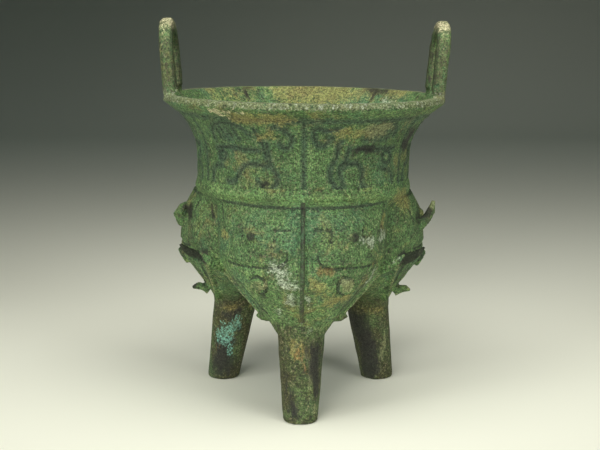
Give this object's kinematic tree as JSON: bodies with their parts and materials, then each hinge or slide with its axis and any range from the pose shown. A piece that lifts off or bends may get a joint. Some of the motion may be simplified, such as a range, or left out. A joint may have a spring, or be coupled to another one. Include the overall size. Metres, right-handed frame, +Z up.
{
  "type": "lobed ding tripod vessel",
  "caption": "Lobed bronze tripod cauldron with a flared rim, two upright loop handles and raised animal masks over the legs, for cooking and offering food.",
  "frame": {"origin": "middle of the bounding box, on the surface the feet stand on", "axes": "+Z up, -Y towards the lobe and leg that face the picture's camera, +X towards its right handle"},
  "size_m": [0.1756, 0.172, 0.235],
  "materials": {
    "green_bronze": "cast bronze under a mottled green patina"
  },
  "bodies": {
    "root": {"ding_vessel": "green_bronze"}
  },
  "joints": []
}
